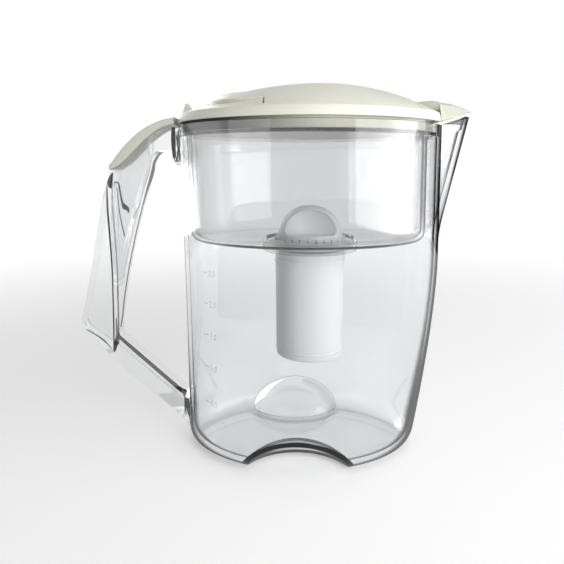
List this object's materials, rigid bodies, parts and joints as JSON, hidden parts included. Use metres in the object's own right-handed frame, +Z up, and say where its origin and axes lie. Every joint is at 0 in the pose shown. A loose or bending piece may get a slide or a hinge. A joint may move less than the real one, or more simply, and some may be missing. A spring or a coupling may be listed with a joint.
{
  "type": "water filter pitcher with flip lid",
  "caption": "Clear water filter pitcher with an open handle, a hanging hopper with a filter cartridge, and a lid with a flip-up hatch and spout flap.",
  "frame": {"origin": "middle of the jug's base on the table, on the axis of the filter cartridge", "axes": "+X towards the spout, -X towards the handle, +Z up; the object is symmetric about the XZ plane"},
  "size_m": [0.2879, 0.1404, 0.2673],
  "materials": {
    "jug_clear": "gloss",
    "handle_clear": "gloss",
    "hopper_clear": "gloss",
    "cap_plastic": "gloss",
    "lid_plastic": "gloss",
    "skirt_plastic": "gloss",
    "cartridge_plastic": "matte",
    "seal_rubber": "matte",
    "screen_fabric": "matte",
    "carbon": "matte",
    "resin_beads": "satin",
    "pin_steel": "satin"
  },
  "bodies": {
    "jug": {"jug_shell": "jug_clear", "handle": "handle_clear", "grip_insert": "handle_clear", "handle_cap": "cap_plastic"},
    "hopper": {"hopper_shell": "hopper_clear"},
    "cartridge": {"cartridge_body": "cartridge_plastic", "cartridge_cap": "cartridge_plastic", "cartridge_base": "cartridge_plastic", "collar_seal": "seal_rubber", "inlet_screen": "screen_fabric", "carbon_bed": "carbon", "felt_pad": "screen_fabric", "resin_bed": "resin_beads", "outlet_screen": "screen_fabric"},
    "lid": {"lid_shell": "lid_plastic", "lid_tray": "lid_plastic", "lid_skirt": "skirt_plastic", "hatch_pin": "pin_steel", "flap_pin": "pin_steel"},
    "hatch": {"hatch": "lid_plastic"},
    "flap": {"spout_flap": "lid_plastic"}
  },
  "joints": [
    {"name": "hopper_lift", "type": "slide", "parent": "jug", "child": "hopper", "axis": [0, 0, 1], "range_m": [0, 0.18]},
    {"name": "lid_lift", "type": "slide", "parent": "hopper", "child": "lid", "axis": [0, 0, 1], "range_m": [0, 0.06]},
    {"name": "cartridge_lift", "type": "slide", "parent": "hopper", "child": "cartridge", "axis": [0, 0, 1], "range_m": [0, 0.055]},
    {"name": "hatch_hinge", "type": "hinge", "parent": "lid", "child": "hatch", "pos_m": [0.0685, 0, 0.2544], "axis": [0, 1, 0], "range_deg": [0, 95]},
    {"name": "flap_hinge", "type": "hinge", "parent": "lid", "child": "flap", "pos_m": [0.0776, 0, 0.2522], "axis": [0, -1, 0], "range_deg": [0, 55]}
  ]
}
